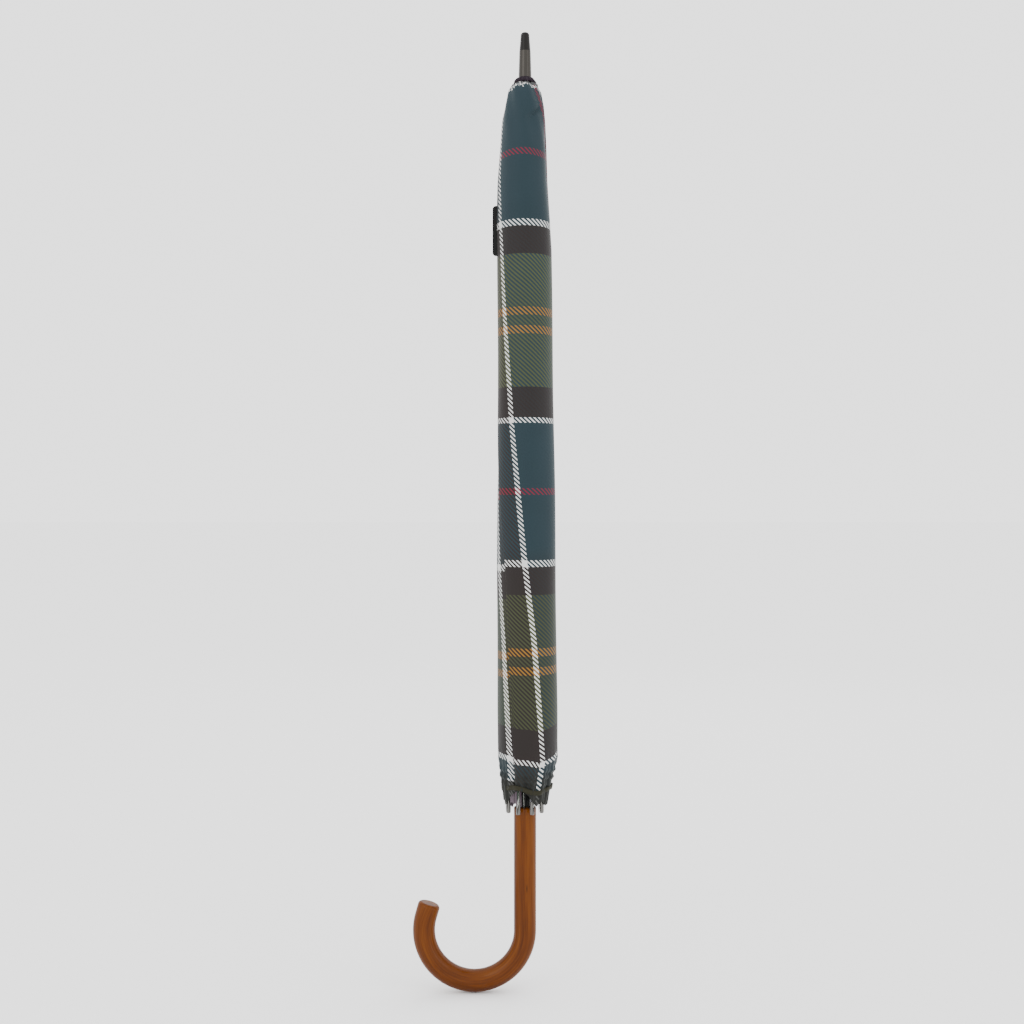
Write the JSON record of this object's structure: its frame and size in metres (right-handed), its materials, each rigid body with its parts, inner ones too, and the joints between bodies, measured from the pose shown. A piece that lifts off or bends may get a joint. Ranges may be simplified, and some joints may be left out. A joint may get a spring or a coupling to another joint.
{
  "type": "stick umbrella",
  "caption": "Furled stick umbrella with a bent wooden crook handle, tartan cloth canopy and a folding steel frame that slides open on its shaft.",
  "frame": {"origin": "on the shaft's axis at the middle of the straight part of the grip", "axes": "+Z along the shaft towards the ferrule, the crook bends towards -X, and the front of the umbrella faces -Y"},
  "size_m": [0.1303, 0.0542, 0.8823],
  "materials": {
    "grip_wood": "stained bent wood, satin lacquer",
    "shaft_lacquer": "black lacquered steel tube",
    "gunmetal": "black nickel plate, polished",
    "dark_cap": "dark blunt cap",
    "crown_black": "moulded black",
    "rosette_cloth": "gathered dark cloth",
    "tartan_twill": "woven tartan twill, printed-dyed in the yarn",
    "strap_cloth": "woven twill band",
    "label_cloth": "woven black tab, blank",
    "runner_black": "moulded black",
    "spring_steel": "spring steel",
    "rib_steel": "plated steel",
    "tip_metal": "nickel-plated cap"
  },
  "bodies": {
    "root": {"handle": "grip_wood", "shaft": "shaft_lacquer", "ferrule": "gunmetal", "ferrule_tip": "dark_cap", "crown": "crown_black", "rosette": "rosette_cloth", "canopy_wrap": "tartan_twill", "tie_strap": "strap_cloth", "label_tab": "label_cloth"},
    "rib_inner_1": {"rib_inner_1": "rib_steel"},
    "rib_outer_1": {"rib_outer_1": "rib_steel", "rib_tip_1": "tip_metal"},
    "stretcher_1": {"stretcher_1": "rib_steel"},
    "panel_upper_1": {"panel_upper_1": "tartan_twill"},
    "panel_lower_1": {"panel_lower_1": "tartan_twill"},
    "rib_inner_2": {"rib_inner_2": "rib_steel"},
    "rib_outer_2": {"rib_outer_2": "rib_steel", "rib_tip_2": "tip_metal"},
    "stretcher_2": {"stretcher_2": "rib_steel"},
    "panel_upper_2": {"panel_upper_2": "tartan_twill"},
    "panel_lower_2": {"panel_lower_2": "tartan_twill"},
    "rib_inner_3": {"rib_inner_3": "rib_steel"},
    "rib_outer_3": {"rib_outer_3": "rib_steel", "rib_tip_3": "tip_metal"},
    "stretcher_3": {"stretcher_3": "rib_steel"},
    "panel_upper_3": {"panel_upper_3": "tartan_twill"},
    "panel_lower_3": {"panel_lower_3": "tartan_twill"},
    "rib_inner_4": {"rib_inner_4": "rib_steel"},
    "rib_outer_4": {"rib_outer_4": "rib_steel", "rib_tip_4": "tip_metal"},
    "stretcher_4": {"stretcher_4": "rib_steel"},
    "panel_upper_4": {"panel_upper_4": "tartan_twill"},
    "panel_lower_4": {"panel_lower_4": "tartan_twill"},
    "rib_inner_5": {"rib_inner_5": "rib_steel"},
    "rib_outer_5": {"rib_outer_5": "rib_steel", "rib_tip_5": "tip_metal"},
    "stretcher_5": {"stretcher_5": "rib_steel"},
    "panel_upper_5": {"panel_upper_5": "tartan_twill"},
    "panel_lower_5": {"panel_lower_5": "tartan_twill"},
    "rib_inner_6": {"rib_inner_6": "rib_steel"},
    "rib_outer_6": {"rib_outer_6": "rib_steel", "rib_tip_6": "tip_metal"},
    "stretcher_6": {"stretcher_6": "rib_steel"},
    "panel_upper_6": {"panel_upper_6": "tartan_twill"},
    "panel_lower_6": {"panel_lower_6": "tartan_twill"},
    "rib_inner_7": {"rib_inner_7": "rib_steel"},
    "rib_outer_7": {"rib_outer_7": "rib_steel", "rib_tip_7": "tip_metal"},
    "stretcher_7": {"stretcher_7": "rib_steel"},
    "panel_upper_7": {"panel_upper_7": "tartan_twill"},
    "panel_lower_7": {"panel_lower_7": "tartan_twill"},
    "rib_inner_8": {"rib_inner_8": "rib_steel"},
    "rib_outer_8": {"rib_outer_8": "rib_steel", "rib_tip_8": "tip_metal"},
    "stretcher_8": {"stretcher_8": "rib_steel"},
    "panel_upper_8": {"panel_upper_8": "tartan_twill"},
    "panel_lower_8": {"panel_lower_8": "tartan_twill"},
    "runner": {"runner": "runner_black"},
    "bottom_catch": {"bottom_catch": "spring_steel"},
    "top_catch": {"top_catch": "spring_steel"}
  },
  "joints": [
    {"name": "runner_slide", "type": "slide", "parent": "root", "child": "runner", "axis": [0, 0, 1], "range_m": [0, 0.40332], "deforming": ["canopy_wrap", "tie_strap", "label_tab"]},
    {"name": "bottom_catch_press", "type": "slide", "parent": "root", "child": "bottom_catch", "axis": [0, 1, 0], "range_m": [0, 0.0018], "stiffness_N_per_m": 300},
    {"name": "top_catch_press", "type": "slide", "parent": "root", "child": "top_catch", "axis": [0, 1, 0], "range_m": [0, 0.0018], "stiffness_N_per_m": 300},
    {"name": "rib_hinge_1", "type": "hinge", "parent": "root", "child": "rib_inner_1", "pos_m": [0.00878, 0.00364, 0.719], "axis": [0.3827, -0.9239, 0], "range_deg": [0, 72.46]},
    {"name": "rib_flex_1", "type": "hinge", "parent": "rib_inner_1", "child": "rib_outer_1", "pos_m": [0.01135, 0.0047, 0.43401], "axis": [0.3827, -0.9239, 0], "range_deg": [-20.02, 0]},
    {"name": "stretcher_hinge_1", "type": "hinge", "parent": "rib_inner_1", "child": "stretcher_1", "pos_m": [0.01135, 0.0047, 0.43401], "axis": [0.3827, -0.9239, 0], "range_deg": [-144.9, 0]},
    {"name": "upper_fan_1", "type": "hinge", "parent": "rib_inner_1", "child": "panel_upper_1", "pos_m": [0.00869, 0.0036, 0.72893], "axis": [0.8711, 0.491, 0.0097], "range_deg": [0, 42.95]},
    {"name": "lower_fan_1", "type": "hinge", "parent": "rib_outer_1", "child": "panel_lower_1", "pos_m": [0.00816, 0.00338, 0.78716], "axis": [0.8038, 0.5948, 0.0095], "range_deg": [0, 35.61]},
    {"name": "rib_hinge_2", "type": "hinge", "parent": "root", "child": "rib_inner_2", "pos_m": [0.00364, 0.00878, 0.719], "axis": [0.9239, -0.3827, 0], "range_deg": [0, 72.46]},
    {"name": "rib_flex_2", "type": "hinge", "parent": "rib_inner_2", "child": "rib_outer_2", "pos_m": [0.0047, 0.01135, 0.43401], "axis": [0.9239, -0.3827, 0], "range_deg": [-20.02, 0]},
    {"name": "stretcher_hinge_2", "type": "hinge", "parent": "rib_inner_2", "child": "stretcher_2", "pos_m": [0.0047, 0.01135, 0.43401], "axis": [0.9239, -0.3827, 0], "range_deg": [-144.9, 0]},
    {"name": "upper_fan_2", "type": "hinge", "parent": "rib_inner_2", "child": "panel_upper_2", "pos_m": [0.0036, 0.00869, 0.72893], "axis": [0.2688, 0.9631, 0.0097], "range_deg": [0, 42.95]},
    {"name": "lower_fan_2", "type": "hinge", "parent": "rib_outer_2", "child": "panel_lower_2", "pos_m": [0.00338, 0.00816, 0.78716], "axis": [0.1478, 0.989, 0.0095], "range_deg": [0, 35.61]},
    {"name": "rib_hinge_3", "type": "hinge", "parent": "root", "child": "rib_inner_3", "pos_m": [-0.00364, 0.00878, 0.719], "axis": [0.9239, 0.3827, 0], "range_deg": [0, 72.46]},
    {"name": "rib_flex_3", "type": "hinge", "parent": "rib_inner_3", "child": "rib_outer_3", "pos_m": [-0.0047, 0.01135, 0.43401], "axis": [0.9239, 0.3827, 0], "range_deg": [-20.02, 0]},
    {"name": "stretcher_hinge_3", "type": "hinge", "parent": "rib_inner_3", "child": "stretcher_3", "pos_m": [-0.0047, 0.01135, 0.43401], "axis": [0.9239, 0.3827, 0], "range_deg": [-144.9, 0]},
    {"name": "upper_fan_3", "type": "hinge", "parent": "rib_inner_3", "child": "panel_upper_3", "pos_m": [-0.0036, 0.00869, 0.72893], "axis": [-0.491, 0.8711, 0.0097], "range_deg": [0, 42.95]},
    {"name": "lower_fan_3", "type": "hinge", "parent": "rib_outer_3", "child": "panel_lower_3", "pos_m": [-0.00338, 0.00816, 0.78716], "axis": [-0.5948, 0.8038, 0.0095], "range_deg": [0, 35.61]},
    {"name": "rib_hinge_4", "type": "hinge", "parent": "root", "child": "rib_inner_4", "pos_m": [-0.00878, 0.00364, 0.719], "axis": [0.3827, 0.9239, 0], "range_deg": [0, 72.46]},
    {"name": "rib_flex_4", "type": "hinge", "parent": "rib_inner_4", "child": "rib_outer_4", "pos_m": [-0.01135, 0.0047, 0.43401], "axis": [0.3827, 0.9239, 0], "range_deg": [-20.02, 0]},
    {"name": "stretcher_hinge_4", "type": "hinge", "parent": "rib_inner_4", "child": "stretcher_4", "pos_m": [-0.01135, 0.0047, 0.43401], "axis": [0.3827, 0.9239, 0], "range_deg": [-144.9, 0]},
    {"name": "upper_fan_4", "type": "hinge", "parent": "rib_inner_4", "child": "panel_upper_4", "pos_m": [-0.00869, 0.0036, 0.72893], "axis": [-0.9631, 0.2688, 0.0097], "range_deg": [0, 42.95]},
    {"name": "lower_fan_4", "type": "hinge", "parent": "rib_outer_4", "child": "panel_lower_4", "pos_m": [-0.00816, 0.00338, 0.78716], "axis": [-0.989, 0.1478, 0.0095], "range_deg": [0, 35.61]},
    {"name": "rib_hinge_5", "type": "hinge", "parent": "root", "child": "rib_inner_5", "pos_m": [-0.00878, -0.00364, 0.719], "axis": [-0.3827, 0.9239, 0], "range_deg": [0, 72.46]},
    {"name": "rib_flex_5", "type": "hinge", "parent": "rib_inner_5", "child": "rib_outer_5", "pos_m": [-0.01135, -0.0047, 0.43401], "axis": [-0.3827, 0.9239, 0], "range_deg": [-20.02, 0]},
    {"name": "stretcher_hinge_5", "type": "hinge", "parent": "rib_inner_5", "child": "stretcher_5", "pos_m": [-0.01135, -0.0047, 0.43401], "axis": [-0.3827, 0.9239, 0], "range_deg": [-144.9, 0]},
    {"name": "upper_fan_5", "type": "hinge", "parent": "rib_inner_5", "child": "panel_upper_5", "pos_m": [-0.00869, -0.0036, 0.72893], "axis": [-0.8711, -0.491, 0.0097], "range_deg": [0, 42.95]},
    {"name": "lower_fan_5", "type": "hinge", "parent": "rib_outer_5", "child": "panel_lower_5", "pos_m": [-0.00816, -0.00338, 0.78716], "axis": [-0.8038, -0.5948, 0.0095], "range_deg": [0, 35.61]},
    {"name": "rib_hinge_6", "type": "hinge", "parent": "root", "child": "rib_inner_6", "pos_m": [-0.00364, -0.00878, 0.719], "axis": [-0.9239, 0.3827, 0], "range_deg": [0, 72.46]},
    {"name": "rib_flex_6", "type": "hinge", "parent": "rib_inner_6", "child": "rib_outer_6", "pos_m": [-0.0047, -0.01135, 0.43401], "axis": [-0.9239, 0.3827, 0], "range_deg": [-20.02, 0]},
    {"name": "stretcher_hinge_6", "type": "hinge", "parent": "rib_inner_6", "child": "stretcher_6", "pos_m": [-0.0047, -0.01135, 0.43401], "axis": [-0.9239, 0.3827, 0], "range_deg": [-144.9, 0]},
    {"name": "upper_fan_6", "type": "hinge", "parent": "rib_inner_6", "child": "panel_upper_6", "pos_m": [-0.0036, -0.00869, 0.72893], "axis": [-0.2688, -0.9631, 0.0097], "range_deg": [0, 42.95]},
    {"name": "lower_fan_6", "type": "hinge", "parent": "rib_outer_6", "child": "panel_lower_6", "pos_m": [-0.00338, -0.00816, 0.78716], "axis": [-0.1478, -0.989, 0.0095], "range_deg": [0, 35.61]},
    {"name": "rib_hinge_7", "type": "hinge", "parent": "root", "child": "rib_inner_7", "pos_m": [0.00364, -0.00878, 0.719], "axis": [-0.9239, -0.3827, 0], "range_deg": [0, 72.46]},
    {"name": "rib_flex_7", "type": "hinge", "parent": "rib_inner_7", "child": "rib_outer_7", "pos_m": [0.0047, -0.01135, 0.43401], "axis": [-0.9239, -0.3827, 0], "range_deg": [-20.02, 0]},
    {"name": "stretcher_hinge_7", "type": "hinge", "parent": "rib_inner_7", "child": "stretcher_7", "pos_m": [0.0047, -0.01135, 0.43401], "axis": [-0.9239, -0.3827, 0], "range_deg": [-144.9, 0]},
    {"name": "upper_fan_7", "type": "hinge", "parent": "rib_inner_7", "child": "panel_upper_7", "pos_m": [0.0036, -0.00869, 0.72893], "axis": [0.491, -0.8711, 0.0097], "range_deg": [0, 42.95]},
    {"name": "lower_fan_7", "type": "hinge", "parent": "rib_outer_7", "child": "panel_lower_7", "pos_m": [0.00338, -0.00816, 0.78716], "axis": [0.5948, -0.8038, 0.0095], "range_deg": [0, 35.61]},
    {"name": "rib_hinge_8", "type": "hinge", "parent": "root", "child": "rib_inner_8", "pos_m": [0.00878, -0.00364, 0.719], "axis": [-0.3827, -0.9239, 0], "range_deg": [0, 72.46]},
    {"name": "rib_flex_8", "type": "hinge", "parent": "rib_inner_8", "child": "rib_outer_8", "pos_m": [0.01135, -0.0047, 0.43401], "axis": [-0.3827, -0.9239, 0], "range_deg": [-20.02, 0]},
    {"name": "stretcher_hinge_8", "type": "hinge", "parent": "rib_inner_8", "child": "stretcher_8", "pos_m": [0.01135, -0.0047, 0.43401], "axis": [-0.3827, -0.9239, 0], "range_deg": [-144.9, 0]},
    {"name": "upper_fan_8", "type": "hinge", "parent": "rib_inner_8", "child": "panel_upper_8", "pos_m": [0.00869, -0.0036, 0.72893], "axis": [0.9631, -0.2688, 0.0097], "range_deg": [0, 42.95]},
    {"name": "lower_fan_8", "type": "hinge", "parent": "rib_outer_8", "child": "panel_lower_8", "pos_m": [0.00816, -0.00338, 0.78716], "axis": [0.989, -0.1478, 0.0095], "range_deg": [0, 35.61]}
  ],
  "couplings": [
    {"joint": "rib_hinge_1", "follows": "runner_slide", "rad_per_m": 3.1348},
    {"joint": "rib_flex_1", "follows": "runner_slide", "rad_per_m": -0.86548},
    {"joint": "stretcher_hinge_1", "follows": "runner_slide", "rad_per_m": -6.2695},
    {"joint": "upper_fan_1", "follows": "runner_slide", "rad_per_m": 1.8579},
    {"joint": "lower_fan_1", "follows": "runner_slide", "rad_per_m": 1.5402},
    {"joint": "rib_hinge_2", "follows": "runner_slide", "rad_per_m": 3.1348},
    {"joint": "rib_flex_2", "follows": "runner_slide", "rad_per_m": -0.86548},
    {"joint": "stretcher_hinge_2", "follows": "runner_slide", "rad_per_m": -6.2695},
    {"joint": "upper_fan_2", "follows": "runner_slide", "rad_per_m": 1.8579},
    {"joint": "lower_fan_2", "follows": "runner_slide", "rad_per_m": 1.5402},
    {"joint": "rib_hinge_3", "follows": "runner_slide", "rad_per_m": 3.1348},
    {"joint": "rib_flex_3", "follows": "runner_slide", "rad_per_m": -0.86548},
    {"joint": "stretcher_hinge_3", "follows": "runner_slide", "rad_per_m": -6.2695},
    {"joint": "upper_fan_3", "follows": "runner_slide", "rad_per_m": 1.8579},
    {"joint": "lower_fan_3", "follows": "runner_slide", "rad_per_m": 1.5402},
    {"joint": "rib_hinge_4", "follows": "runner_slide", "rad_per_m": 3.1348},
    {"joint": "rib_flex_4", "follows": "runner_slide", "rad_per_m": -0.86548},
    {"joint": "stretcher_hinge_4", "follows": "runner_slide", "rad_per_m": -6.2695},
    {"joint": "upper_fan_4", "follows": "runner_slide", "rad_per_m": 1.8579},
    {"joint": "lower_fan_4", "follows": "runner_slide", "rad_per_m": 1.5402},
    {"joint": "rib_hinge_5", "follows": "runner_slide", "rad_per_m": 3.1348},
    {"joint": "rib_flex_5", "follows": "runner_slide", "rad_per_m": -0.86548},
    {"joint": "stretcher_hinge_5", "follows": "runner_slide", "rad_per_m": -6.2695},
    {"joint": "upper_fan_5", "follows": "runner_slide", "rad_per_m": 1.8579},
    {"joint": "lower_fan_5", "follows": "runner_slide", "rad_per_m": 1.5402},
    {"joint": "rib_hinge_6", "follows": "runner_slide", "rad_per_m": 3.1348},
    {"joint": "rib_flex_6", "follows": "runner_slide", "rad_per_m": -0.86548},
    {"joint": "stretcher_hinge_6", "follows": "runner_slide", "rad_per_m": -6.2695},
    {"joint": "upper_fan_6", "follows": "runner_slide", "rad_per_m": 1.8579},
    {"joint": "lower_fan_6", "follows": "runner_slide", "rad_per_m": 1.5402},
    {"joint": "rib_hinge_7", "follows": "runner_slide", "rad_per_m": 3.1348},
    {"joint": "rib_flex_7", "follows": "runner_slide", "rad_per_m": -0.86548},
    {"joint": "stretcher_hinge_7", "follows": "runner_slide", "rad_per_m": -6.2695},
    {"joint": "upper_fan_7", "follows": "runner_slide", "rad_per_m": 1.8579},
    {"joint": "lower_fan_7", "follows": "runner_slide", "rad_per_m": 1.5402},
    {"joint": "rib_hinge_8", "follows": "runner_slide", "rad_per_m": 3.1348},
    {"joint": "rib_flex_8", "follows": "runner_slide", "rad_per_m": -0.86548},
    {"joint": "stretcher_hinge_8", "follows": "runner_slide", "rad_per_m": -6.2695},
    {"joint": "upper_fan_8", "follows": "runner_slide", "rad_per_m": 1.8579},
    {"joint": "lower_fan_8", "follows": "runner_slide", "rad_per_m": 1.5402}
  ]
}
